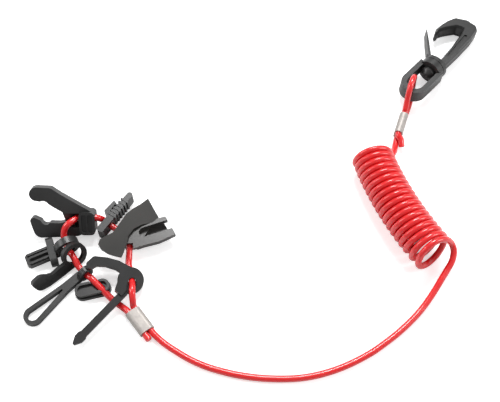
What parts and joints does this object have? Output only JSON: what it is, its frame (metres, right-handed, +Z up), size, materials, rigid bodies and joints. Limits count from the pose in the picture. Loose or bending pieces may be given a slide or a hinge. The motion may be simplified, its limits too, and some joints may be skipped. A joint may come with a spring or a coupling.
{
  "type": "kill switch lanyard",
  "caption": "Coiled safety lanyard of an engine kill switch: a red coiled cord between a swivel snap hook and a loop that holds a bunch of plastic switch keys.",
  "frame": {"origin": "middle of the box round the hook, the ferrules and the keys, at the height of the surface that the lanyard lies on", "axes": "+X from the keys towards the snap hook, +Y away from the bend of the cord, +Z up from the surface"},
  "size_m": [0.2617, 0.2322, 0.0254],
  "materials": {
    "red_cord": "glossy translucent red",
    "black_plastic": "moulded black, semi-gloss",
    "ferrule_metal": "dull, crimped"
  },
  "bodies": {
    "lanyard": {"cord_key_loop": "red_cord", "cord_run": "red_cord", "cord_coil": "red_cord", "cord_lead": "red_cord", "cord_hook_loop": "red_cord", "key_ferrule": "ferrule_metal", "hook_ferrule": "ferrule_metal", "swivel_eye": "black_plastic"},
    "hook": {"snap_hook": "black_plastic", "swivel_head": "black_plastic"},
    "gate": {"gate_leaf": "black_plastic"},
    "fork_key_body": {"fork_key": "black_plastic"},
    "plug_key_body": {"plug_key": "black_plastic"},
    "paddle_key_body": {"paddle_key": "black_plastic"},
    "strap_key_body": {"strap_key": "black_plastic"},
    "cap_key_body": {"cap_key": "black_plastic"},
    "pin_key_body": {"pin_key": "black_plastic"},
    "channel_key_body": {"channel_key": "black_plastic"},
    "ribbed_key_body": {"ribbed_key": "black_plastic"}
  },
  "joints": [
    {"name": "hook_swivel", "type": "hinge", "parent": "lanyard", "child": "hook", "pos_m": [0.09875, 0.06818, 0.00781], "axis": [0.6623, 0.746, -0.0689], "continuous": true},
    {"name": "gate_flex", "type": "hinge", "parent": "hook", "child": "gate", "pos_m": [0.0969, 0.07529, 0.00753], "axis": [0.0457, 0.0515, 0.9976], "range_deg": [-10, 0], "stiffness_Nm_per_rad": 0.02},
    {"name": "fork_swing", "type": "hinge", "parent": "lanyard", "child": "fork_key_body", "pos_m": [-0.101, -0.0363, 0.0102], "axis": [1, 0, 0], "range_deg": [0, 30]},
    {"name": "plug_swing", "type": "hinge", "parent": "lanyard", "child": "plug_key_body", "pos_m": [-0.1099, -0.0515, 0.0066], "axis": [-0.4384, 0.8988, 0], "range_deg": [0, 20]},
    {"name": "paddle_swing", "type": "hinge", "parent": "lanyard", "child": "paddle_key_body", "pos_m": [-0.1055, -0.0569, 0.0069], "axis": [-0.6561, 0.7547, 0], "range_deg": [0, 20]},
    {"name": "strap_swing", "type": "hinge", "parent": "lanyard", "child": "strap_key_body", "pos_m": [-0.0992, -0.0664, 0.0041], "axis": [-0.7071, 0.7071, 0], "range_deg": [0, 25]},
    {"name": "cap_swing", "type": "hinge", "parent": "lanyard", "child": "cap_key_body", "pos_m": [-0.09035, -0.0747, 0.00435], "axis": [-0.7128, 0.6768, 0.1839], "range_deg": [0, 10]},
    {"name": "pin_swing", "type": "hinge", "parent": "lanyard", "child": "pin_key_body", "pos_m": [-0.0737, -0.0724, 0.0056], "axis": [-0.1618, 0.8646, -0.4756], "range_deg": [0, 12]},
    {"name": "channel_swing", "type": "hinge", "parent": "lanyard", "child": "channel_key_body", "pos_m": [-0.0799, -0.046, 0.0044], "axis": [0.6, -0.8, 0], "range_deg": [-12, 0]},
    {"name": "ribbed_swing", "type": "hinge", "parent": "lanyard", "child": "ribbed_key_body", "pos_m": [-0.089, -0.03745, 0.00545], "axis": [0.8137, -0.5388, -0.2179], "range_deg": [0, 25]}
  ]
}
